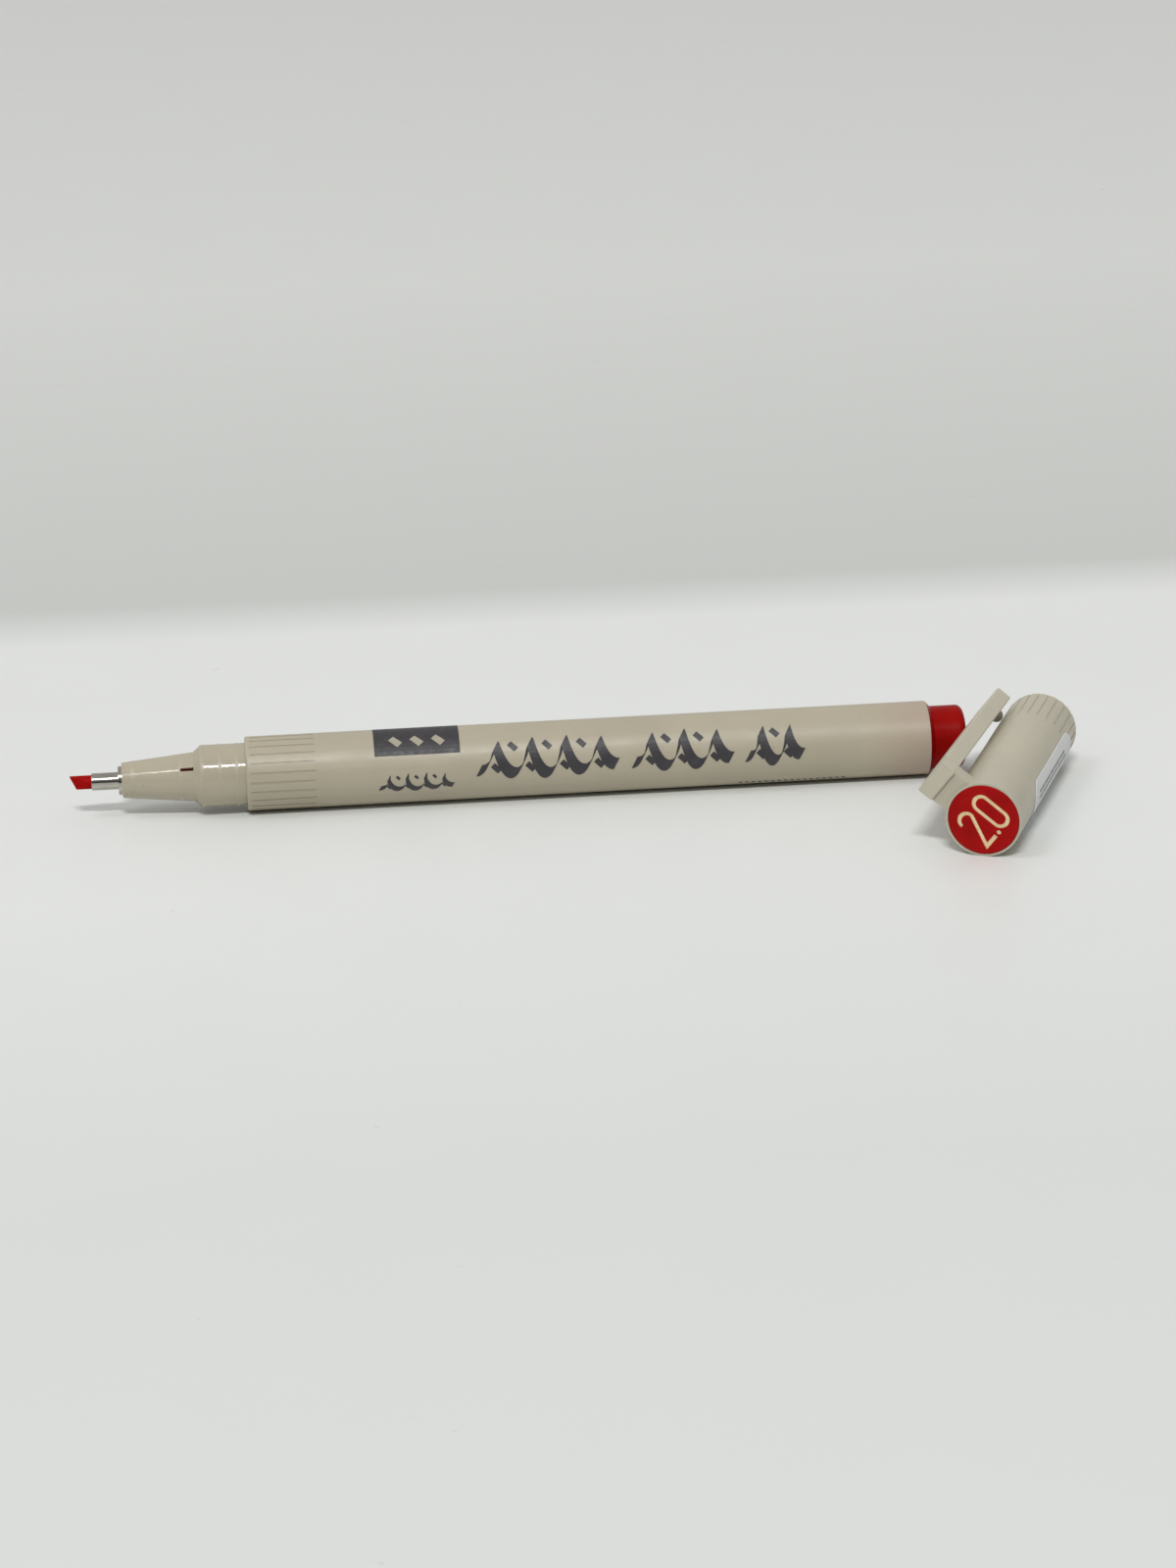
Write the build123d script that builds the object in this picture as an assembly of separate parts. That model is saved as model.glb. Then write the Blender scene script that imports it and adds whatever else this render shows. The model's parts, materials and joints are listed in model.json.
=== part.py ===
from build123d import *

import os

# Calligraphy marker lying uncapped on a table, with its cap lying beside the tail.
# Millimetres.  +Z is up, +X runs along the pen from the nib to the tail, and Z = 0 is the table.
# Every pen station is measured from the barrel's front edge, and every cap station from the
# cap's closed end.  Both are built along the X axis, the cap with its clip pointing up, and
# then laid down.

os.makedirs("parts", exist_ok=True)

# ---- driving dimensions ---------------------------------------------------------------------
BARREL_R = 5.4
BARREL_LENGTH = 99.8
BARREL_BORE_R = 4.3
RIM_ROUND = 0.35

GROOVE_COUNT = 24
GROOVE_WIDTH = 0.32
BARREL_GROOVE_DEPTH = 0.09
BARREL_GROOVE_START = 0.7
BARREL_GROOVE_END = 10.0
BARREL_GROOVE_PHASE = 11.8

FIT_GAP = 0.03

SECTION_R = 4.53
SECTION_LENGTH = 7.5
SECTION_PLUG_LENGTH = 10.0
SHOULDER_LENGTH = 1.05
SHOULDER_ROUND = 0.6
NOSE_REAR_R = 3.58
NOSE_FRONT_R = 2.58
NOSE_LENGTH = 10.4
NOSE_ROUND = 0.2
VENT_LENGTH = 1.9
VENT_WIDTH = 0.5
VENT_TURN = 52.5

NIB_R = 1.0
NIB_TIP_REACH = 25.4
NIB_SLANT = 26.0
NIB_EDGE_THICKNESS = 0.7
NIB_WEDGE_LENGTH = 2.6
NIB_DEPTH_IN_INK = 8.0

SLEEVE_R = 1.25
SLEEVE_ROUND = 0.12
SLEEVE_FRONT_REACH = 22.3
SLEEVE_INNER_LENGTH = 6.5
FLANGE_R = 2.08
FLANGE_THICKNESS = 0.5

HOLDER_R = 2.75

RESERVOIR_R = 3.9
FILM_THICKNESS = 0.12
END_PLAY = 0.2

PLUG_R = 4.6
PLUG_REACH = 5.5
PLUG_STEP_LENGTH = 0.7
PLUG_INSERT_LENGTH = 8.0
PLUG_HOLLOW_R = 3.2
PLUG_WALL = 1.4
PLUG_ROUND = 1.0

CAP_LENGTH = 40.0
CAP_R = BARREL_R
CAP_MOUTH_R = 4.65
CAP_BORE_R = 4.4
CAP_GROOVE_DEPTH = 0.13
CAP_GROOVE_START = 30.9
CAP_GROOVE_PHASE = 7.5

DISC_R = 5.05
DISC_THICKNESS = 1.3
DISC_PROUD = 0.15
DISC_ROUND = 0.2
DISC_PLUG_LENGTH = 4.0
DISC_PLUG_WALL = 1.0

LINER_BORE_R = 3.75
LINER_FLOOR = 1.0
LINER_TIP_ROOM = 3.0

BLOCK_START = 0.45
BLOCK_END = 3.0
CLIP_HALF_WIDTH = 2.7
CLIP_THICKNESS = 2.35
CLIP_LENGTH = 35.4
CLIP_ROOT_HEIGHT = 7.3
CLIP_TIP_HEIGHT = 6.45
CLIP_SPLIT = 0.12
CLIP_EDGE_ROUND = 0.2
NUB_STATION = 33.0
NUB_R = 1.0
NUB_GAP = 0.08

MARK_DEPTH = 0.25
FOIL_THICKNESS = 0.05
MARK_STROKE = 0.6
MARK_SPREAD = 0.78
MARK_DOT_R = 0.34
MARK_HALF_HEIGHT = 2.75
MARK_GLYPH_WIDTH = 2.15

LABEL_START = 9.3
LABEL_END = 35.4
LABEL_HALF_CHORD = 4.15
LABEL_CORNER = 2.8
LABEL_THICKNESS = 0.09
LABEL_TURN = 170.0

# where the cap lies
CAP_END_BEYOND_TAIL = 2.0
CAP_END_SIDE = -35.47
CAP_HEADING = 67.3
CAP_ROLL = -53.0

# ---- worked-out dimensions ------------------------------------------------------------------
NOSE_REAR = -SECTION_LENGTH
NOSE_FRONT = NOSE_REAR - NOSE_LENGTH
FLANGE_FRONT = NOSE_FRONT - FLANGE_THICKNESS
SLEEVE_FRONT = -SLEEVE_FRONT_REACH
SLEEVE_REAR = NOSE_FRONT + SLEEVE_INNER_LENGTH
RESERVOIR_FRONT = SECTION_PLUG_LENGTH + END_PLAY
RESERVOIR_REAR = BARREL_LENGTH - PLUG_INSERT_LENGTH - END_PLAY
NIB_TIP = -NIB_TIP_REACH
NIB_REAR = RESERVOIR_FRONT + NIB_DEPTH_IN_INK
LINER_MOUTH = CAP_LENGTH - SECTION_LENGTH - END_PLAY
LINER_START = CAP_LENGTH - NIB_TIP_REACH - LINER_TIP_ROOM
CLIP_SLOPE = (CLIP_TIP_HEIGHT - CLIP_ROOT_HEIGHT) / CLIP_LENGTH
TOUCH = 0.01


# ---- shared shapes --------------------------------------------------------------------------
def turned(*points):
    """Solid turned about the X axis from (station, radius) points."""
    return revolve(make_face(Polyline(*points, close=True)), axis=Axis.X)


def tube(start, end, outer_radius, inner_radius):
    """Plain tube along the X axis."""
    return turned(
        (start, inner_radius), (start, outer_radius), (end, outer_radius), (end, inner_radius)
    )


def rod(start, end, radius):
    """Plain rod along the X axis."""
    return turned((start, 0), (start, radius), (end, radius), (end, 0))


def rims(solid, station, radius):
    """Circular edges of a turned solid at one station and radius."""
    circles = solid.edges().filter_by(GeomType.CIRCLE)
    return [
        edge
        for edge in circles
        if abs(edge.arc_center.X - station) < TOUCH and abs(edge.radius - radius) < TOUCH
    ]


def grip_grooves(start, end, depth, phase):
    """Ring of fine lengthwise grooves to cut into a surface of the barrel's radius."""
    length = end - start
    groove = Pos(start + length / 2, 0, BARREL_R) * Box(length, GROOVE_WIDTH, 2 * depth)
    return [Rot(phase + turn * 360 / GROOVE_COUNT, 0, 0) * groove for turn in range(GROOVE_COUNT)]


# ---- pen ------------------------------------------------------------------------------------
def make_barrel():
    """Open tube with rounded rims and a grooved grip at the front."""
    barrel = tube(0, BARREL_LENGTH, BARREL_R, BARREL_BORE_R)
    barrel = fillet(rims(barrel, 0, BARREL_R), RIM_ROUND)
    return barrel - grip_grooves(
        BARREL_GROOVE_START, BARREL_GROOVE_END, BARREL_GROOVE_DEPTH, BARREL_GROOVE_PHASE
    )


def make_front_section():
    """Stepped holder: plug inside the barrel, cap seat, sloping shoulder and nose cone."""
    plug_r = BARREL_BORE_R - FIT_GAP
    section = turned(
        (NOSE_FRONT, 0),
        (NOSE_FRONT, NOSE_FRONT_R),
        (NOSE_REAR, NOSE_REAR_R),
        (NOSE_REAR + SHOULDER_LENGTH, SECTION_R),
        (0, SECTION_R),
        (0, plug_r),
        (SECTION_PLUG_LENGTH, plug_r),
        (SECTION_PLUG_LENGTH, 0),
    )
    section = fillet(rims(section, NOSE_REAR + SHOULDER_LENGTH, SECTION_R), SHOULDER_ROUND)
    section = fillet(rims(section, NOSE_FRONT, NOSE_FRONT_R), NOSE_ROUND)
    section -= rod(NOSE_FRONT, SLEEVE_REAR, SLEEVE_R + FIT_GAP)
    section -= rod(SLEEVE_REAR, SECTION_PLUG_LENGTH, HOLDER_R + FIT_GAP)
    vent = Pos(NOSE_REAR - VENT_LENGTH / 2, 0, 0) * Box(VENT_LENGTH, VENT_WIDTH, 2 * BARREL_R)
    return section - Rot(VENT_TURN, 0, 0) * vent


def make_nib_sleeve():
    """Steel tube round the nib, with a flange that sits on the nose."""
    sleeve = turned(
        (SLEEVE_FRONT, NIB_R + FIT_GAP),
        (SLEEVE_FRONT, SLEEVE_R),
        (FLANGE_FRONT, SLEEVE_R),
        (FLANGE_FRONT, FLANGE_R),
        (NOSE_FRONT, FLANGE_R),
        (NOSE_FRONT, SLEEVE_R),
        (SLEEVE_REAR, SLEEVE_R),
        (SLEEVE_REAR, NIB_R + FIT_GAP),
    )
    return fillet(rims(sleeve, SLEEVE_FRONT, SLEEVE_R), SLEEVE_ROUND)


def make_chisel_nib():
    """Fibre rod ground to a slanted chisel edge, running back into the ink reservoir."""
    nib = rod(NIB_TIP, NIB_REAR, NIB_R)
    slant_cut = Pos(NIB_TIP, 0, NIB_R) * Rot(0, -NIB_SLANT, 0) * Box(
        2 * SLEEVE_R, 4 * NIB_R, 6 * NIB_R, align=(Align.MAX, Align.CENTER, Align.CENTER)
    )
    nib -= slant_cut
    for side in (1, -1):
        wedge = make_face(
            Polyline(
                (NIB_TIP, side * NIB_EDGE_THICKNESS / 2),
                (NIB_TIP, side * 2 * NIB_R),
                (NIB_TIP + NIB_WEDGE_LENGTH, side * 2 * NIB_R),
                (NIB_TIP + NIB_WEDGE_LENGTH, side * NIB_R),
                close=True,
            )
        )
        nib -= extrude(wedge, amount=2 * NIB_R, both=True)
    return nib


def make_nib_holder():
    """Ink-coloured bush that grips the nib behind the steel sleeve."""
    return tube(SLEEVE_REAR + END_PLAY, SECTION_PLUG_LENGTH, HOLDER_R, NIB_R + FIT_GAP)


def make_ink_reservoir():
    """Bonded-fibre core with a socket for the nib's tail."""
    core = rod(RESERVOIR_FRONT, RESERVOIR_REAR, RESERVOIR_R)
    return core - rod(RESERVOIR_FRONT, NIB_REAR + END_PLAY, NIB_R + FIT_GAP)


def make_reservoir_film():
    """Plastic wrap round the fibre core."""
    inner_r = RESERVOIR_R + FIT_GAP
    return tube(RESERVOIR_FRONT, RESERVOIR_REAR, inner_r + FILM_THICKNESS, inner_r)


def make_tail_plug():
    """Hollow plug with a step that the posted cap grips."""
    insert_r = BARREL_BORE_R - FIT_GAP
    start = BARREL_LENGTH - PLUG_INSERT_LENGTH
    end = BARREL_LENGTH + PLUG_REACH
    plug = turned(
        (start, 0),
        (start, insert_r),
        (BARREL_LENGTH, insert_r),
        (BARREL_LENGTH, BARREL_R),
        (BARREL_LENGTH + PLUG_STEP_LENGTH, PLUG_R),
        (end, PLUG_R),
        (end, 0),
    )
    plug = fillet(rims(plug, end, PLUG_R), PLUG_ROUND)
    return plug - rod(start, end - PLUG_WALL, PLUG_HOLLOW_R)


# ---- cap ------------------------------------------------------------------------------------
def clip_bar(start, end):
    """Length of the flat clip bar, which leans towards the shell as it nears the mouth."""
    start_height = CLIP_ROOT_HEIGHT + CLIP_SLOPE * start
    end_height = CLIP_ROOT_HEIGHT + CLIP_SLOPE * end
    side = make_face(
        Polyline(
            (start, 0, start_height),
            (end, 0, end_height),
            (end, 0, end_height + CLIP_THICKNESS),
            (start, 0, start_height + CLIP_THICKNESS),
            close=True,
        )
    )
    return extrude(side, amount=CLIP_HALF_WIDTH, both=True)


def make_cap_shell():
    """Tube with a seat for the end disc, a grooved mouth and the clip's root."""
    shell = rod(0, CAP_LENGTH, CAP_R)
    shell = fillet(rims(shell, CAP_LENGTH, CAP_R), RIM_ROUND / 2)
    shell -= grip_grooves(CAP_GROOVE_START, CAP_LENGTH, CAP_GROOVE_DEPTH, CAP_GROOVE_PHASE)
    block = Pos(BLOCK_START, 0, 0) * Box(
        BLOCK_END - BLOCK_START,
        2 * CLIP_HALF_WIDTH,
        CLIP_ROOT_HEIGHT + CLIP_THICKNESS / 2,
        align=(Align.MIN, Align.CENTER, Align.MIN),
    )
    shell += block + clip_bar(0, BLOCK_END)
    shell -= rod(0, CAP_LENGTH, CAP_BORE_R)
    shell -= rod(LINER_MOUTH, CAP_LENGTH, CAP_MOUTH_R)
    return shell - rod(0, DISC_THICKNESS - DISC_PROUD, DISC_R + FIT_GAP)


def make_clip():
    """Springy part of the clip, with a round nub near its tip that pinches a pocket's edge."""
    bar = clip_bar(BLOCK_END + CLIP_SPLIT, CLIP_LENGTH)
    tip_edges = bar.edges().filter_by(Axis.Y).group_by(Axis.X)[-1]
    nub = Pos(NUB_STATION, 0, CAP_R + NUB_GAP + NUB_R) * Sphere(NUB_R)
    return fillet(tip_edges, CLIP_EDGE_ROUND) + nub


def size_mark():
    """Nib width, 2.0, drawn in plain strokes across the disc's face."""
    half_width = MARK_GLYPH_WIDTH / 2
    centre = MARK_GLYPH_WIDTH * MARK_SPREAD
    bowl = MARK_HALF_HEIGHT - half_width
    two = [
        ThreePointArc((-half_width, bowl), (0, MARK_HALF_HEIGHT), (half_width, bowl)),
        Line((half_width, bowl), (-half_width, -MARK_HALF_HEIGHT)),
        Line((-half_width, -MARK_HALF_HEIGHT), (half_width, -MARK_HALF_HEIGHT)),
    ]
    zero = [
        ThreePointArc((-half_width, bowl), (0, MARK_HALF_HEIGHT), (half_width, bowl)),
        Line((half_width, bowl), (half_width, -bowl)),
        ThreePointArc((half_width, -bowl), (0, -MARK_HALF_HEIGHT), (-half_width, -bowl)),
        Line((-half_width, -bowl), (-half_width, bowl)),
    ]
    glyphs = Pos(-centre, 0, 0) * trace(two, MARK_STROKE)
    glyphs += Pos(centre, 0, 0) * trace(zero, MARK_STROKE)
    return glyphs + Pos(0, -MARK_HALF_HEIGHT, 0) * Circle(MARK_DOT_R)


def place_mark(depth_below_face, thickness):
    """The size mark as a slab facing out of the cap's closed end, its top towards the clip."""
    facing_out = Plane(
        origin=(-DISC_PROUD + depth_below_face, 0, 0), x_dir=(0, -1, 0), z_dir=(-1, 0, 0)
    )
    return extrude(facing_out * size_mark(), amount=thickness)


def make_cap_end_plug():
    """Coloured disc that closes the cap, with a hollow plug behind it and a sunk size mark."""
    plug_r = CAP_BORE_R - FIT_GAP
    face = -DISC_PROUD
    back = face + DISC_THICKNESS
    plug = turned(
        (face, 0),
        (face, DISC_R),
        (back, DISC_R),
        (back, plug_r),
        (back + DISC_PLUG_LENGTH, plug_r),
        (back + DISC_PLUG_LENGTH, plug_r - DISC_PLUG_WALL),
        (back, plug_r - DISC_PLUG_WALL),
        (back, 0),
    )
    plug = fillet(rims(plug, face, DISC_R), DISC_ROUND)
    return plug - place_mark(MARK_DEPTH, MARK_DEPTH + DISC_PROUD)


def make_cap_mark():
    """Metal foil at the bottom of the sunk size mark."""
    return place_mark(MARK_DEPTH, FOIL_THICKNESS)


def make_cap_liner():
    """Inner cup that closes on the section's shoulder and keeps the nib from drying."""
    cup = rod(LINER_START, LINER_MOUTH, CAP_BORE_R - FIT_GAP)
    return cup - rod(LINER_START + LINER_FLOOR, LINER_MOUTH, LINER_BORE_R)


def make_price_label():
    """Blank sticker bent round the shell's side."""
    inner_r = CAP_R + FIT_GAP
    skin = tube(LABEL_START, LABEL_END, inner_r + LABEL_THICKNESS, inner_r)
    outline = Pos((LABEL_START + LABEL_END) / 2, 0, 0) * RectangleRounded(
        LABEL_END - LABEL_START, 2 * LABEL_HALF_CHORD, LABEL_CORNER
    )
    return Rot(LABEL_TURN, 0, 0) * (skin & extrude(outline, amount=2 * CAP_R))


# ---- laying everything down -----------------------------------------------------------------
PEN_PLACE = Pos(0, 0, BARREL_R)
CAP_PLACE = (
    Pos(BARREL_LENGTH + CAP_END_BEYOND_TAIL, CAP_END_SIDE, CAP_R)
    * Rot(0, 0, CAP_HEADING)
    * Rot(CAP_ROLL, 0, 0)
)

pieces = {
    "barrel": PEN_PLACE * make_barrel(),
    "front_section": PEN_PLACE * make_front_section(),
    "nib_sleeve": PEN_PLACE * make_nib_sleeve(),
    "chisel_nib": PEN_PLACE * make_chisel_nib(),
    "nib_holder": PEN_PLACE * make_nib_holder(),
    "ink_reservoir": PEN_PLACE * make_ink_reservoir(),
    "reservoir_film": PEN_PLACE * make_reservoir_film(),
    "tail_plug": PEN_PLACE * make_tail_plug(),
    "cap_shell": CAP_PLACE * make_cap_shell(),
    "clip": CAP_PLACE * make_clip(),
    "cap_end_plug": CAP_PLACE * make_cap_end_plug(),
    "cap_mark": CAP_PLACE * make_cap_mark(),
    "cap_liner": CAP_PLACE * make_cap_liner(),
    "price_label": CAP_PLACE * make_price_label(),
}

# The frame's origin is the middle of the whole object's footprint, on the table.
whole_box = Compound(list(pieces.values())).bounding_box()
TO_ORIGIN = Pos(-whole_box.center().X, -whole_box.center().Y, -whole_box.min.Z)

for node, piece in pieces.items():
    export_step(TO_ORIGIN * piece, f"parts/{node}.step")
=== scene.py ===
import json
import math

import bmesh
import bpy
from mathutils import Matrix, Vector


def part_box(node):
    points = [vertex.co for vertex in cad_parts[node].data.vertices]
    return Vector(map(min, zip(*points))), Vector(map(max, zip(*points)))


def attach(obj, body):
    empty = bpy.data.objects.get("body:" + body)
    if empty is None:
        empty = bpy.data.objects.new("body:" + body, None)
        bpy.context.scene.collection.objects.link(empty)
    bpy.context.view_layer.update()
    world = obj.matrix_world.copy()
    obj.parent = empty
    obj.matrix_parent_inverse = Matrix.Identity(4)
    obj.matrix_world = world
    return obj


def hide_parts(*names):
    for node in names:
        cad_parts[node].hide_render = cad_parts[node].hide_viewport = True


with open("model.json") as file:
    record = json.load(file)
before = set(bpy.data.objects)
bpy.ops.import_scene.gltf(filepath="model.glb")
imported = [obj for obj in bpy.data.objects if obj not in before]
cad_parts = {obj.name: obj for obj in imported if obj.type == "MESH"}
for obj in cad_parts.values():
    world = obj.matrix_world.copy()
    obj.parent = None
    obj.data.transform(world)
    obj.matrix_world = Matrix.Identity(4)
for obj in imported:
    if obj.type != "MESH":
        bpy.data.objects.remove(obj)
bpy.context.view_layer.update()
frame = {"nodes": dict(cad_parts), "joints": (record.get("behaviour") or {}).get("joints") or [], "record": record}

MM = 0.001
NODES = frame["nodes"]
RECORD = frame["record"]


# ---- where the pen and the cap lie, read from the frame -------------------------------------
def mount(name):
    """The record's mount of that name."""
    return next(m for m in RECORD["mounts"] if m["name"] == name)


def joint(name):
    """The record's joint of that name."""
    return next(j for j in frame["joints"] if j["name"] == name)


BARREL_LOW, BARREL_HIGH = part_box("barrel")
BARREL_R = (BARREL_HIGH.z - BARREL_LOW.z) / 2
PEN_AXIS_Y = (BARREL_HIGH.y + BARREL_LOW.y) / 2
PEN_AXIS_Z = (BARREL_HIGH.z + BARREL_LOW.z) / 2
BARREL_FRONT = BARREL_LOW.x


def cap_frame():
    """Matrix from the cap's axes (X from closed end to mouth, Z to the clip) to the row frame."""
    along = Vector(mount("cap_mouth")["axis"]).normalized()
    across = -Vector(joint("clip_flex")["axis"]).normalized()
    up = along.cross(across)
    on_axis = Vector(mount("cap_mouth")["pos_m"])
    closed_end = min(v.co.dot(along) for v in NODES["cap_shell"].data.vertices)
    origin = on_axis + along * (closed_end - on_axis.dot(along))
    columns = Matrix((along, across, up)).transposed().to_4x4()
    return Matrix.Translation(origin) @ columns


CAP = cap_frame()


# ---- material building blocks ---------------------------------------------------------------
class Recipe:
    """A principled material with short calls for the texture nodes that feed it."""

    def __init__(self, name, base, **constants):
        """Starts from a base colour; every other constant names a shader socket."""
        self.material = bpy.data.materials.new(name)
        self.material.use_nodes = True
        self.tree = self.material.node_tree
        self.shader = self.tree.nodes["Principled BSDF"]
        self.shader.inputs["Base Color"].default_value = (*base, 1)
        for socket, value in constants.items():
            self.shader.inputs[socket.replace("_", " ")].default_value = value
        self.coordinates = self.tree.nodes.new("ShaderNodeTexCoord").outputs["Object"]
        self.colour = None
        self.height = None

    def link(self, output, socket):
        """Feeds one socket from another."""
        self.tree.links.new(output, socket)

    def stretched(self, scale):
        """Object coordinates scaled by a different factor along each axis."""
        mapping = self.tree.nodes.new("ShaderNodeMapping")
        mapping.inputs["Scale"].default_value = scale
        self.link(self.coordinates, mapping.inputs["Vector"])
        return mapping.outputs["Vector"]

    def noise(self, scale, detail=3.0, stretch=None):
        """Fractal noise from 0 to 1; scale is in features per metre."""
        node = self.tree.nodes.new("ShaderNodeTexNoise")
        node.inputs["Scale"].default_value = scale
        node.inputs["Detail"].default_value = detail
        self.link(self.stretched(stretch) if stretch else self.coordinates, node.inputs["Vector"])
        return node.outputs["Fac"]

    def remap(self, value, low, high, to_low, to_high):
        """value carried from one range to another and clamped there."""
        node = self.tree.nodes.new("ShaderNodeMapRange")
        self.link(value, node.inputs["Value"])
        limits = {"From Min": low, "From Max": high, "To Min": to_low, "To Max": to_high}
        for name, number in limits.items():
            node.inputs[name].default_value = number
        return node.outputs["Result"]

    def axis(self, name):
        """One coordinate of the object's own space, in metres."""
        node = self.tree.nodes.new("ShaderNodeSeparateXYZ")
        self.link(self.coordinates, node.inputs["Vector"])
        return node.outputs[name]

    def product(self, first, second):
        """Two values multiplied."""
        node = self.tree.nodes.new("ShaderNodeMath")
        node.operation = "MULTIPLY"
        self.link(first, node.inputs[0])
        self.link(second, node.inputs[1])
        return node.outputs["Value"]

    def tint(self, mask, colour):
        """Mixes a colour over what the base colour is so far, where the mask says."""
        mix = self.tree.nodes.new("ShaderNodeMix")
        mix.data_type = "RGBA"
        base = self.shader.inputs["Base Color"]
        if self.colour:
            self.link(self.colour, mix.inputs["A"])
        else:
            mix.inputs["A"].default_value = base.default_value
        mix.inputs["B"].default_value = (*colour, 1)
        self.link(mask, mix.inputs["Factor"])
        self.colour = mix.outputs["Result"]
        self.link(self.colour, base)

    def roughen(self, value, low, high):
        """Roughness that varies between two values, over the middle of the texture's range."""
        self.link(self.remap(value, 0.3, 0.7, low, high), self.shader.inputs["Roughness"])

    def bump(self, value, depth):
        """Surface relief; calls add up, and depth is in metres."""
        node = self.tree.nodes.new("ShaderNodeBump")
        node.inputs["Distance"].default_value = depth
        self.link(value, node.inputs["Height"])
        if self.height:
            self.link(self.height, node.inputs["Normal"])
        self.height = node.outputs["Normal"]
        self.link(self.height, self.shader.inputs["Normal"])


def new_piece(name, mesh):
    """Turns a bmesh into an object in the scene."""
    data = bpy.data.meshes.new(name)
    mesh.to_mesh(data)
    mesh.free()
    piece = bpy.data.objects.new(name, data)
    bpy.context.scene.collection.objects.link(piece)
    return piece


def assign(piece, material):
    """Gives a piece one material."""
    piece.data.materials.clear()
    piece.data.materials.append(material)


# ---- materials ------------------------------------------------------------------------------
BARREL_BEIGE = (0.445, 0.402, 0.304)
CAP_BEIGE = (0.50, 0.465, 0.365)
PINK = (0.44, 0.345, 0.275)
PLUG_RED = (0.30, 0.0034, 0.0025)
# the cap's end disc is the plug's red painted lighter: painted light on the disc's end face
DISC_RED_PAINTED_LIT = (0.40, 0.0058, 0.0058)
NIB_RED = (0.37, 0.0042, 0.0036)
NIB_RED_DARK = (0.24, 0.0025, 0.0022)
RESERVOIR_RED = (0.28, 0.004, 0.004)
RESERVOIR_RED_DARK = (0.17, 0.002, 0.002)
INK = (0.036, 0.033, 0.038)
INK_THIN = (0.065, 0.058, 0.060)
LABEL_INK = (0.13, 0.135, 0.15)
LABEL_INK_THIN = (0.24, 0.245, 0.26)
SPECK_BROWN = (0.16, 0.13, 0.10)
# the clip and its root use the cap's beige painted 8% lighter: painted light on the thin clip
CLIP_PAINTED_LIGHT = 1.08

# the red plug shows through the last stretch of the barrel
PLUG_GLOW_LENGTH = 9.5 * MM
PLUG_GLOW_FULL = 3 * MM


def shaded(colour, factor):
    """A colour made lighter or darker."""
    return tuple(channel * factor for channel in colour)


def moulded_beige(name, base, grain=0.012 * MM):
    """Milky plastic: cloudy pigment, tiny specks and a fine moulded grain."""
    recipe = Recipe(
        name, base,
        Subsurface_Weight=0.18, Subsurface_Radius=(0.0012, 0.001, 0.0007), Subsurface_Scale=1.0,
        IOR=1.49,
    )
    recipe.tint(recipe.remap(recipe.noise(140, 4), 0.35, 0.75, 0, 0.55), shaded(base, 1.10))
    recipe.tint(recipe.remap(recipe.noise(45, 2), 0.45, 0.75, 0, 0.4), shaded(base, 0.88))
    recipe.tint(recipe.remap(recipe.noise(2600, 1), 0.76, 0.80, 0, 0.35), SPECK_BROWN)
    recipe.bump(recipe.noise(3500, 2), grain)
    return recipe


def barrel_plastic():
    """Satin barrel plastic, warmed by the red plug that shows through its tail end."""
    recipe = moulded_beige("barrel_plastic", BARREL_BEIGE)
    tail = BARREL_HIGH.x
    glow = recipe.remap(recipe.axis("X"), tail - PLUG_GLOW_LENGTH, tail - PLUG_GLOW_FULL, 0, 0.75)
    patchy = recipe.remap(recipe.noise(250, 3), 0.2, 0.6, 0.75, 1)
    recipe.tint(recipe.product(glow, patchy), PINK)
    recipe.roughen(recipe.noise(420, 5), 0.36, 0.50)
    recipe.bump(recipe.noise(900, 3, stretch=(0.05, 1, 1)), 0.012 * MM)
    return recipe.material


def section_plastic():
    """Polished holder plastic whose mould left a few dull, faint rings round it."""
    recipe = moulded_beige("section_plastic", BARREL_BEIGE, grain=0.004 * MM)
    rings = recipe.noise(700, 1, stretch=(1, 0.004, 0.004))
    recipe.roughen(recipe.remap(rings, 0.55, 0.59, 0.3, 0.7), 0.09, 0.38)
    recipe.bump(recipe.remap(rings, 0.59, 0.61, 0, 1), 0.02 * MM)
    return recipe.material


def cap_plastic(name, base):
    """Cap plastic: a little glossier than the barrel, with a few grey scuffs."""
    recipe = moulded_beige(name, base)
    scuffs = recipe.remap(recipe.noise(330, 6, stretch=(1, 0.5, 1)), 0.66, 0.74, 0, 0.3)
    recipe.tint(scuffs, shaded(base, 0.62))
    recipe.roughen(recipe.noise(420, 5), 0.32, 0.46)
    recipe.bump(recipe.noise(700, 3), 0.01 * MM)
    return recipe.material


def red_plastic(name, base, roughness):
    """Deep red moulded plastic that lets a little light through."""
    recipe = Recipe(
        name, base,
        Subsurface_Weight=0.12, Subsurface_Radius=(0.0012, 0.0002, 0.0002), Subsurface_Scale=1.0,
        IOR=1.5, Specular_IOR_Level=0.06,
    )
    recipe.tint(recipe.remap(recipe.noise(260, 3), 0.35, 0.7, 0, 0.7), shaded(base, 0.68))
    recipe.tint(recipe.remap(recipe.noise(900, 2), 0.62, 0.8, 0, 0.35), shaded(base, 1.3))
    recipe.roughen(recipe.noise(600, 5), roughness - 0.06, roughness + 0.10)
    recipe.bump(recipe.noise(1500, 3), 0.01 * MM)
    return recipe.material


def drawn_steel():
    """Bright steel tube with hair-fine turning marks."""
    recipe = Recipe("steel", (0.46, 0.44, 0.39), Metallic=1.0)
    recipe.tint(recipe.remap(recipe.noise(500, 4), 0.4, 0.7, 0, 0.5), (0.36, 0.34, 0.30))
    recipe.roughen(recipe.noise(2500, 3, stretch=(0.05, 1, 1)), 0.12, 0.17)
    recipe.bump(recipe.noise(9000, 2, stretch=(1, 0.03, 0.03)), 0.0005 * MM)
    return recipe.material


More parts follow.
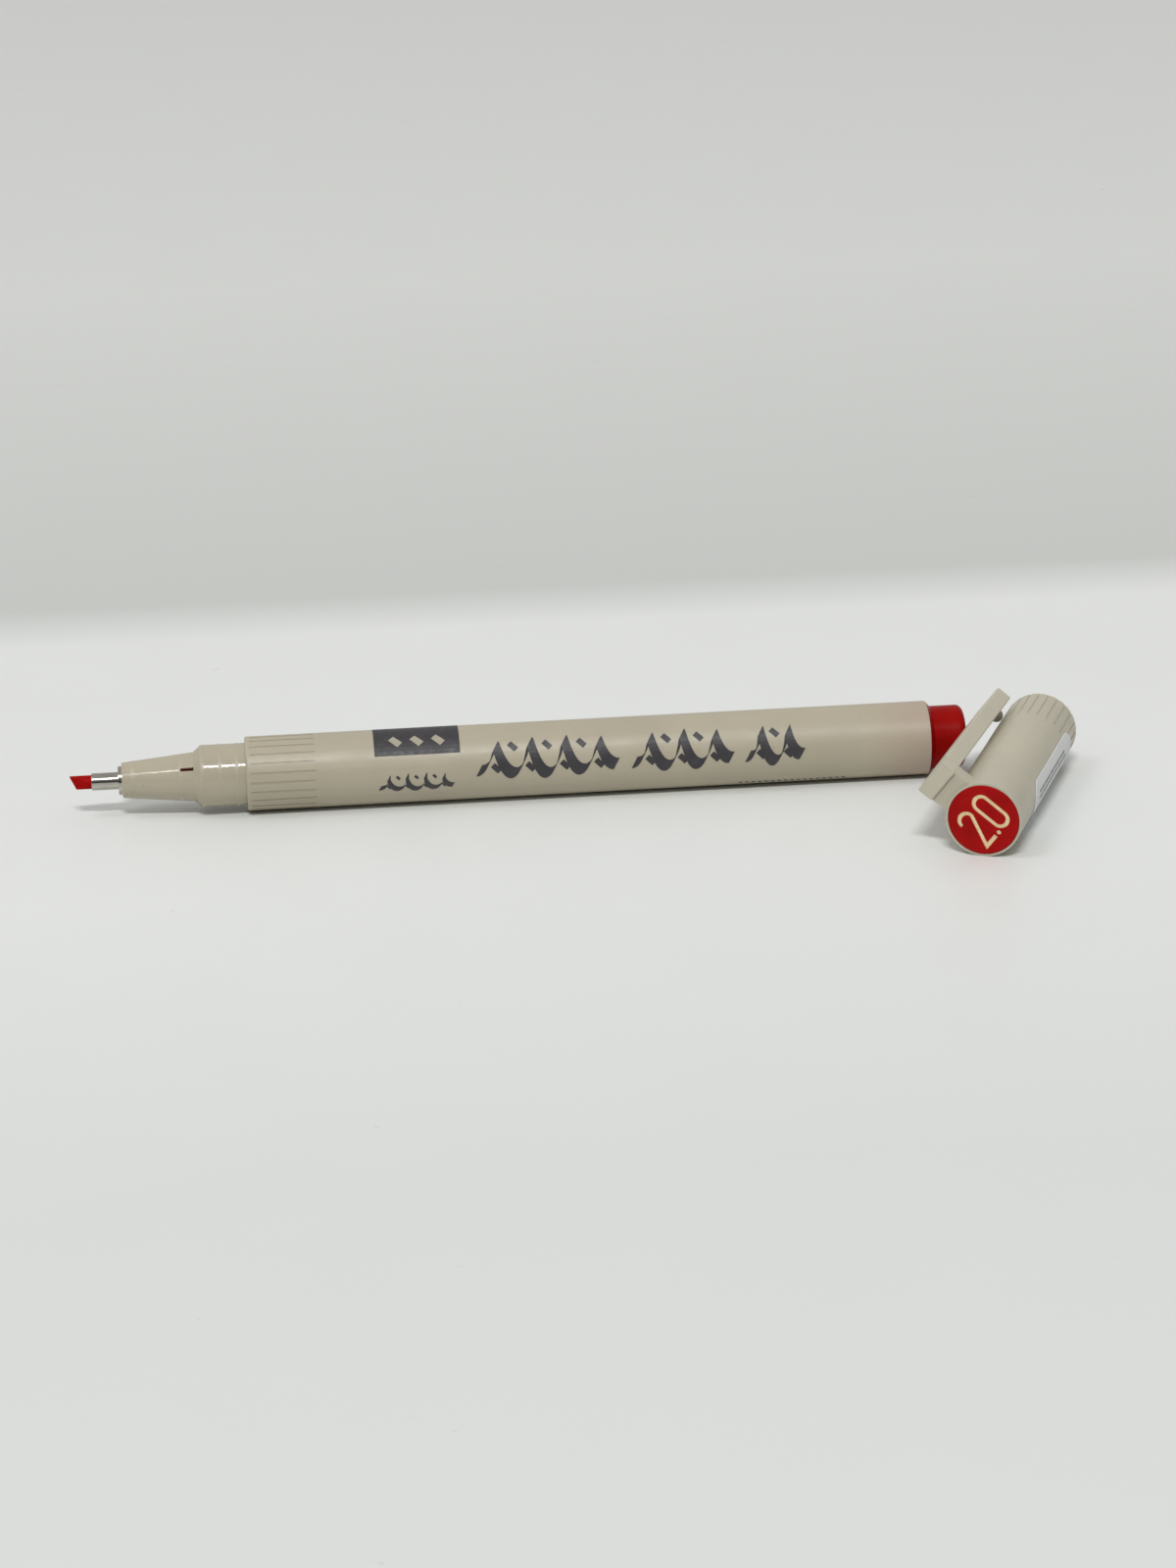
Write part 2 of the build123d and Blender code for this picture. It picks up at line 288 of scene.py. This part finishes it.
def fibre(name, base, dark):
    """Ink-soaked bonded fibre with strands running lengthwise."""
    recipe = Recipe(name, base, Specular_IOR_Level=0.05)
    strands = recipe.noise(5200, 3, stretch=(0.06, 1, 1))
    recipe.tint(recipe.remap(strands, 0.42, 0.68, 0, 0.75), dark)
    recipe.roughen(recipe.noise(1500, 3), 0.45, 0.75)
    recipe.bump(strands, 0.04 * MM)
    return recipe.material


def clear_film():
    """Thin clear wrap with faint wrinkles."""
    recipe = Recipe("clear_film", (0.85, 0.84, 0.82), Transmission_Weight=0.9, IOR=1.45)
    recipe.roughen(recipe.noise(700, 4), 0.08, 0.25)
    recipe.bump(recipe.noise(500, 3, stretch=(0.2, 1, 1)), 0.03 * MM)
    return recipe.material


def gold_foil():
    """Hot-stamped foil, slightly crinkled and worn."""
    recipe = Recipe("gold_foil", (1.0, 0.82, 0.48), Metallic=0.55)
    recipe.tint(recipe.remap(recipe.noise(2200, 4), 0.45, 0.72, 0, 0.6), (0.78, 0.56, 0.26))
    recipe.roughen(recipe.noise(1800, 3), 0.26, 0.48)
    recipe.bump(recipe.noise(3200, 3), 0.02 * MM)
    return recipe.material


def milky_liner():
    """Natural polyethylene inner cup."""
    recipe = Recipe(
        "liner_plastic", (0.62, 0.60, 0.53),
        Subsurface_Weight=0.3, Subsurface_Radius=(0.002, 0.0018, 0.0014), Subsurface_Scale=1.0,
    )
    recipe.tint(recipe.remap(recipe.noise(220, 4), 0.4, 0.7, 0, 0.5), (0.54, 0.51, 0.44))
    recipe.roughen(recipe.noise(500, 4), 0.38, 0.55)
    recipe.bump(recipe.noise(1800, 2), 0.012 * MM)
    return recipe.material


def white_paper():
    """Coated sticker paper with fibres."""
    recipe = Recipe("white_paper", (0.69, 0.70, 0.69))
    recipe.tint(recipe.remap(recipe.noise(600, 5), 0.4, 0.75, 0, 0.5), (0.62, 0.63, 0.62))
    recipe.roughen(recipe.noise(900, 4), 0.34, 0.52)
    recipe.bump(recipe.noise(5000, 3), 0.01 * MM)
    return recipe.material


def print_ink(name, base, thin):
    """Printing ink, thin enough to look a little uneven."""
    recipe = Recipe(name, base)
    recipe.tint(recipe.remap(recipe.noise(900, 4), 0.48, 0.75, 0, 0.6), thin)
    recipe.roughen(recipe.noise(1200, 3), 0.42, 0.58)
    recipe.bump(recipe.noise(4000, 2), 0.01 * MM)
    return recipe.material


# ---- printing on the barrel -----------------------------------------------------------------
# Printing is laid out in millimetres: along the pen from the barrel's front edge, and round it
# from the side that faces the camera, upwards.
PRINT_RISE = 0.015 * MM
PRINT_THICKNESS = 0.03 * MM
SAME_POINT = 0.0005 * MM

PLATE_CENTRE = (24.8, 6.6)
PLATE_HALF_LENGTH = 6.2
PLATE_HALF_HEIGHT = 3.3
PLATE_DOT_ARC = 5.6
PLATE_DOT_PITCH = 3.1
PLATE_DOT_SIZE = 1.0

# start, length and number of waves of each group in the large ornament
LARGE_GROUPS = ((33.6, 20.0, 4), (56.2, 14.2, 3), (72.8, 8.0, 2))
LARGE_ARC = 2.0
LARGE_HEIGHT = 2.4
LARGE_STROKE = 1.9
SMALL_GROUP = (19.2, 10.6, 4)
SMALL_ARC = -0.8
SMALL_HEIGHT = 1.1
SMALL_STROKE = 0.85

FINE_ROW_START = 71.9
FINE_ROW_PITCH = 0.95
FINE_ROW_COUNT = 17
FINE_ROW_ARC = -4.9
FINE_ROW_SIZE = 0.3

NIB_ANGLE = math.radians(62)
WAVE_LEAN = 0.55
WAVE_ENDS = 0.65
DOT_TO_STROKE = 0.42
CREST_DOT = 0.55
TROUGH_DOT = 0.75


def on_barrel(station, arc, rise):
    """Point on the barrel, by metres from its front edge and metres round from its near side."""
    turn = arc / BARREL_R
    radius = BARREL_R + rise
    return Vector(
        (
            BARREL_FRONT + station,
            PEN_AXIS_Y - radius * math.cos(turn),
            PEN_AXIS_Z + radius * math.sin(turn),
        )
    )


def print_patch(
    name, grids, material, surface=on_barrel, rise=PRINT_RISE, body="pen"
):
    """Joins grids of (station, arc) points, in millimetres, into one film on a curved surface."""
    mesh = bmesh.new()
    for grid in grids:
        rows = [[mesh.verts.new(surface(s * MM, a * MM, rise)) for s, a in row] for row in grid]
        for low, high in zip(rows, rows[1:]):
            for i in range(len(low) - 1):
                mesh.faces.new((low[i], low[i + 1], high[i + 1], high[i]))
    bmesh.ops.remove_doubles(mesh, verts=mesh.verts, dist=SAME_POINT)
    bmesh.ops.recalc_face_normals(mesh, faces=mesh.faces)
    piece = new_piece(name, mesh)
    solid = piece.modifiers.new("film", "SOLIDIFY")
    solid.thickness = PRINT_THICKNESS
    solid.offset = 0
    assign(piece, material)
    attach(piece, body)


def lerp(a, b, t):
    """Point at fraction t of the way from a to b."""
    return (a[0] + (b[0] - a[0]) * t, a[1] + (b[1] - a[1]) * t)


def rhomb(centre, size, slant=0.25, steps=4):
    """A broad nib's diamond dot."""
    x, y = centre
    left, top = (x - size, y + slant * size), (x - slant * size, y + size)
    right, bottom = (x + size, y - slant * size), (x + slant * size, y - size)
    rows = []
    for i in range(steps + 1):
        upper = lerp(left, top, i / steps)
        lower = lerp(bottom, right, i / steps)
        rows.append([lerp(upper, lower, j / steps) for j in range(steps + 1)])
    return rows


def plate(centre, half_length, half_height, steps=16, across=10):
    """A plain rectangular patch, as rows that run across it."""
    x, y = centre
    rows = []
    for i in range(steps + 1):
        station = x + half_length * (2 * i / steps - 1)
        rows.append([(station, y + half_height * (2 * j / across - 1)) for j in range(across + 1)])
    return rows


def stroke(path, width, across=3):
    """A broad-nib stroke: the nib's edge, held at one angle, swept along a path."""
    nib = (math.cos(NIB_ANGLE) * width / 2, math.sin(NIB_ANGLE) * width / 2)
    rows = []
    for x, y in path:
        low = (x - nib[0], y - nib[1])
        high = (x + nib[0], y + nib[1])
        rows.append([lerp(low, high, j / across) for j in range(across + 1)])
    return rows


def wave(start, length, centre, height, periods, steps=22):
    """Path of a leaning wave that swells towards its middle."""
    path = []
    count = steps * periods
    for i in range(count + 1):
        t = i / count
        turn = 2 * math.pi * periods * t
        swell = WAVE_ENDS + (1 - WAVE_ENDS) * math.sin(math.pi * t)
        station = start + length * t + WAVE_LEAN * math.sin(turn)
        path.append((station, centre - swell * height * math.cos(turn)))
    return path


def ornament(group, centre, height, width):
    """Wave stroke with diamond dots in its crests and its troughs."""
    start, length, periods = group
    grids = [stroke(wave(start, length, centre, height, periods), width)]
    for k in range(periods):
        crest = start + length * (k + 0.5) / periods
        grids.append(rhomb((crest, centre - height * CREST_DOT), width * DOT_TO_STROKE))
    for k in range(periods - 1):
        trough = start + length * (k + 1) / periods
        grids.append(rhomb((trough, centre + height * TROUGH_DOT), width * DOT_TO_STROKE))
    return grids


def barrel_print(ink, ground):
    """Generic marks in place of the barrel's printing: a plate, two ornaments and a fine row."""
    print_patch("print_patch", [plate(PLATE_CENTRE, PLATE_HALF_LENGTH, PLATE_HALF_HEIGHT)], ink)
    middle = PLATE_CENTRE[0]
    dots = [
        rhomb((middle + PLATE_DOT_PITCH * k, PLATE_DOT_ARC), PLATE_DOT_SIZE) for k in (-1, 0, 1)
    ]
    print_patch("print_patch_dots", dots, ground, rise=PRINT_RISE + PRINT_THICKNESS)
    small = ornament(SMALL_GROUP, SMALL_ARC, SMALL_HEIGHT, SMALL_STROKE)
    print_patch("print_small_wave", small, ink)
    large = []
    for group in LARGE_GROUPS:
        large += ornament(group, LARGE_ARC, LARGE_HEIGHT, LARGE_STROKE)
    print_patch("print_main_wave", large, ink)
    fine = [
        rhomb((FINE_ROW_START + FINE_ROW_PITCH * k, FINE_ROW_ARC), FINE_ROW_SIZE)
        for k in range(FINE_ROW_COUNT)
    ]
    print_patch("print_fine_row", fine, ink)


# ---- printing on the sticker ----------------------------------------------------------------
def label_radius():
    """Radius of the sticker's outer face, read from its CAD node."""
    to_cap = CAP.inverted()
    return max((to_cap @ v.co).yz.length for v in NODES["price_label"].data.vertices)


LABEL_R = label_radius()


def on_label(station, arc, rise):
    """Point on the sticker; station is from the cap's closed end, arc is from the clip's side."""
    turn = arc / LABEL_R
    radius = LABEL_R + rise
    return CAP @ Vector((station, -radius * math.sin(turn), radius * math.cos(turn)))


LABEL_LINES = (13.35, 14.25)
LABEL_LINE_START = 12.5
LABEL_LINE_END = 30.0
LABEL_LINE_HEIGHT = 0.36
LABEL_DASH = 1.0
LABEL_DASH_SPREAD = 0.6
LABEL_DASH_RHYTHM = 2.3
LABEL_GAP = 0.35


def label_print(ink):
    """Two faint broken lines along the sticker, in place of its small print."""
    grids = []
    for line, arc in enumerate(LABEL_LINES):
        station = LABEL_LINE_START
        k = line
        while station < LABEL_LINE_END:
            end = station + LABEL_DASH + LABEL_DASH_SPREAD * math.sin(LABEL_DASH_RHYTHM * k)
            grids.append([[(s, arc), (s, arc + LABEL_LINE_HEIGHT)] for s in (station, end)])
            station = end + LABEL_GAP
            k += 1
    print_patch("label_lines", grids, ink, surface=on_label, body="cap")


# ---- clip -----------------------------------------------------------------------------------
CLIP_ROOT = 3.0 * MM
CLIP_EDGE = 0.22 * MM
NUB_R = 1.0 * MM
SKIN = 0.02 * MM
ROOT_SLICE = 0.3 * MM
TIP_SLICE = 0.25 * MM
SHARP_ANGLE = math.radians(50)


def clip_sizes():
    """The clip's extent in the cap's own axes, read from its CAD node."""
    to_cap = CAP.inverted()
    points = [to_cap @ v.co for v in NODES["clip"].data.vertices]
    end = max(p.x for p in points)
    root = [p for p in points if p.x < CLIP_ROOT + ROOT_SLICE]
    tip = [p for p in points if p.x > end - TIP_SLICE]
    nub = min(points, key=lambda p: p.z)
    return {
        "half_width": max(p.y for p in points) + SKIN,
        "end": end,
        "root_low": min(p.z for p in root) - SKIN,
        "root_high": max(p.z for p in root) + SKIN,
        "tip_low": min(p.z for p in tip) - SKIN,
        "tip_high": max(p.z for p in tip) + SKIN,
        "nub_station": nub.x,
        "nub_low": nub.z,
    }


def clip_length(name, size, start, end):
    """A length of the clip's flat tapering bar, between two stations, with soft edges."""
    reach = size["end"] - CLIP_ROOT

    def height(side, station):
        """Height above the cap's axis of the bar's low or high face at a station."""
        root, tip = size["root_" + side], size["tip_" + side]
        return root + (tip - root) * (station - CLIP_ROOT) / reach

    profile = [
        (start, height("low", start)),
        (end, height("low", end)),
        (end, height("high", end)),
        (start, height("high", start)),
    ]
    mesh = bmesh.new()
    near = [mesh.verts.new((x, -size["half_width"], z)) for x, z in profile]
    far = [mesh.verts.new((x, size["half_width"], z)) for x, z in profile]
    mesh.faces.new(near)
    mesh.faces.new(list(reversed(far)))
    for i in range(len(profile)):
        j = (i + 1) % len(profile)
        mesh.faces.new((near[j], near[i], far[i], far[j]))
    bmesh.ops.recalc_face_normals(mesh, faces=mesh.faces)
    piece = new_piece(name, mesh)
    bevel = piece.modifiers.new("soft_edges", "BEVEL")
    bevel.width = CLIP_EDGE
    bevel.segments = 3
    return piece


def clip_nub(size):
    """The round nub under the clip's free end that grips the pocket."""
    mesh = bmesh.new()
    centre = Vector((size["nub_station"], 0, size["nub_low"] + NUB_R))
    bmesh.ops.create_uvsphere(
        mesh, u_segments=32, v_segments=16, radius=NUB_R, matrix=Matrix.Translation(centre)
    )
    return new_piece("clip_nub", mesh)


def lay_clip_piece(piece, material):
    """Applies a clip piece's modifiers, lays it on the cap and gives it its plastic."""
    bpy.context.view_layer.update()
    graph = bpy.context.evaluated_depsgraph_get()
    whole = bpy.data.meshes.new_from_object(piece.evaluated_get(graph))
    piece.modifiers.clear()
    piece.data = whole
    whole.transform(CAP)
    whole.shade_smooth()
    whole.set_sharp_from_angle(angle=SHARP_ANGLE)
    piece.modifiers.new("flat_faces", "WEIGHTED_NORMAL").keep_sharp = True
    assign(piece, material)


def make_clip(material):
    """The bending clip with its round nub, and the fixed root that carries it."""
    size = clip_sizes()
    clip = clip_length("pocket_clip", size, CLIP_ROOT - 2 * CLIP_EDGE, size["end"])
    nub = clip_nub(size)
    union = clip.modifiers.new("nub", "BOOLEAN")
    union.operation = "UNION"
    union.object = nub
    lay_clip_piece(clip, material)
    bpy.data.objects.remove(nub)
    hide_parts("clip")
    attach(clip, "clip")
    root = clip_length("clip_root", size, -SKIN, CLIP_ROOT)
    lay_clip_piece(root, material)
    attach(root, "cap")


# ---- stage, light and camera ----------------------------------------------------------------
FLOOR_REACH = 2.0

# depths along Y, in metres, where the ground's tone changes
BACKDROP_START = 0.098
BACKDROP_FULL = 0.118
# the ground lightens from BACKDROP_GREY at BACKDROP_FULL to FAR_GREY at FAR_BACKDROP: painted shade darkening the
# backdrop next to the table
FAR_BACKDROP = 0.35
# the table is painted darker from FRONT_START to FRONT_FULL towards the camera: painted shade for the room light
# falling off there
FRONT_START = -0.02
FRONT_FULL = -0.113

TABLE_WHITE = (0.80, 0.815, 0.80)
TABLE_CLOUD = (0.78, 0.795, 0.785)
BACKDROP_GREY = (0.595, 0.61, 0.59)
FAR_GREY = (0.73, 0.745, 0.725)
FRONT_PAINTED_SHADE = (0.712, 0.732, 0.722)
DUST_GREY = (0.52, 0.51, 0.48)


def make_stage():
    """Pale table with a slightly darker ground behind it; painted shade darkens the table's front and the ground
    next to the table.
    """
    mesh = bmesh.new()
    corners = [(-1, -1), (1, -1), (1, 1), (-1, 1)]
    mesh.faces.new([mesh.verts.new((x * FLOOR_REACH, y * FLOOR_REACH, 0)) for x, y in corners])
    floor = new_piece("table_top", mesh)
    recipe = Recipe("table_white", TABLE_WHITE)
    depth = recipe.axis("Y")
    recipe.tint(recipe.remap(recipe.noise(12, 4), 0.4, 0.7, 0, 0.5), TABLE_CLOUD)
    recipe.tint(recipe.remap(depth, BACKDROP_START, BACKDROP_FULL, 0, 1), BACKDROP_GREY)
    # painted shade: the backdrop darkest next to the table, lighter further back
    recipe.tint(recipe.remap(depth, BACKDROP_FULL, FAR_BACKDROP, 0, 1), FAR_GREY)
    # painted shade: the table's front made darker towards the camera
    recipe.tint(recipe.remap(depth, FRONT_FULL, FRONT_START, 1, 0), FRONT_PAINTED_SHADE)
    recipe.tint(recipe.remap(recipe.noise(240, 2), 0.755, 0.785, 0, 0.3), DUST_GREY)
    recipe.roughen(recipe.noise(60, 4), 0.34, 0.46)
    recipe.bump(recipe.noise(900, 3), 0.02 * MM)
    assign(floor, recipe.material)


def area_light(name, place, width, height, power):
    """Rectangular light that faces the middle of the table."""
    data = bpy.data.lights.new(name, "AREA")
    data.shape = "RECTANGLE"
    data.size = width
    data.size_y = height
    data.energy = power
    light = bpy.data.objects.new(name, data)
    bpy.context.scene.collection.objects.link(light)
    light.location = place
    light.rotation_euler = (-Vector(place)).to_track_quat("-Z", "Y").to_euler()


BRIGHT_SIDE = (0, 0.5, 1)
ROOM_COLOUR = (1.0, 0.995, 0.975, 1)
ROOM_LIGHT = {"From Min": -0.3, "From Max": 0.6, "To Min": 0.06, "To Max": 0.52}


def make_world():
    """Room light: bright overhead and behind the object, darker on the camera's side."""
    world = bpy.data.worlds.new("room")
    bpy.context.scene.world = world
    world.use_nodes = True
    nodes, links = world.node_tree.nodes, world.node_tree.links
    direction = nodes.new("ShaderNodeTexCoord").outputs["Generated"]
    brightest = nodes.new("ShaderNodeVectorMath")
    brightest.operation = "DOT_PRODUCT"
    brightest.inputs[1].default_value = BRIGHT_SIDE
    links.new(direction, brightest.inputs[0])
    ramp = nodes.new("ShaderNodeMapRange")
    links.new(brightest.outputs["Value"], ramp.inputs["Value"])
    for name, number in ROOM_LIGHT.items():
        ramp.inputs[name].default_value = number
    background = nodes["Background"]
    background.inputs["Color"].default_value = ROOM_COLOUR
    links.new(ramp.outputs["Result"], background.inputs["Strength"])


def make_light():
    """A soft ceiling light in front of the table and a weaker, larger one to its left."""
    area_light("ceiling", (-0.3, -2.1, 2.9), width=0.9, height=0.26, power=64)
    area_light("side", (-1.75, -0.5, 3.0), width=1.2, height=1.2, power=16)


CAMERA_PLACE = (-48.4 * MM, -548.9 * MM, 206.5 * MM)
CAMERA_YAW = math.radians(5.04)
CAMERA_PITCH = math.radians(19.92)
CAMERA_ROLL = math.radians(-1.38)
CAMERA_LENS = 94.5


def make_camera():
    """Camera in front of the nib's side, looking down at the pen."""
    data = bpy.data.cameras.new("camera")
    data.lens = CAMERA_LENS
    data.clip_start = 0.01
    camera = bpy.data.objects.new("camera", data)
    bpy.context.scene.collection.objects.link(camera)
    yaw = Matrix.Rotation(-CAMERA_YAW, 4, "Z")
    pitch = Matrix.Rotation(math.pi / 2 - CAMERA_PITCH, 4, "X")
    roll = Matrix.Rotation(CAMERA_ROLL, 4, "Z")
    camera.matrix_world = Matrix.Translation(CAMERA_PLACE) @ (yaw @ pitch) @ roll
    bpy.context.scene.camera = camera


# ---- putting it together --------------------------------------------------------------------
def dress():
    """Materials for the CAD nodes, and the pieces that are built here."""
    beige_barrel = barrel_plastic()
    red = red_plastic("red_plastic", PLUG_RED, 0.28)
    ink = print_ink("print_ink", INK, INK_THIN)
    materials = {
        "barrel": beige_barrel,
        "front_section": section_plastic(),
        "nib_sleeve": drawn_steel(),
        "chisel_nib": fibre("red_fibre", NIB_RED, NIB_RED_DARK),
        "nib_holder": red,
        "ink_reservoir": fibre("ink_fibre", RESERVOIR_RED, RESERVOIR_RED_DARK),
        "reservoir_film": clear_film(),
        "tail_plug": red,
        "cap_shell": cap_plastic("cap_plastic", CAP_BEIGE),
        # painted light: the end disc gets a lighter copy of the red plastic
        "cap_end_plug": red_plastic("disc_plastic", DISC_RED_PAINTED_LIT, 0.32),
        "cap_mark": gold_foil(),
        "cap_liner": milky_liner(),
        "price_label": white_paper(),
    }
    for node, material in materials.items():
        assign(NODES[node], material)
    barrel_print(ink, beige_barrel)
    label_print(print_ink("faint_ink", LABEL_INK, LABEL_INK_THIN))
    # painted light: the clip's plastic is a lighter copy of the cap's
    make_clip(cap_plastic("clip_plastic", shaded(CAP_BEIGE, CLIP_PAINTED_LIGHT)))


make_camera()
make_stage()
make_world()
make_light()
dress()

scene = bpy.context.scene
scene.view_settings.view_transform = "Standard"
scene.view_settings.look = "None"

bpy.context.view_layer.update()
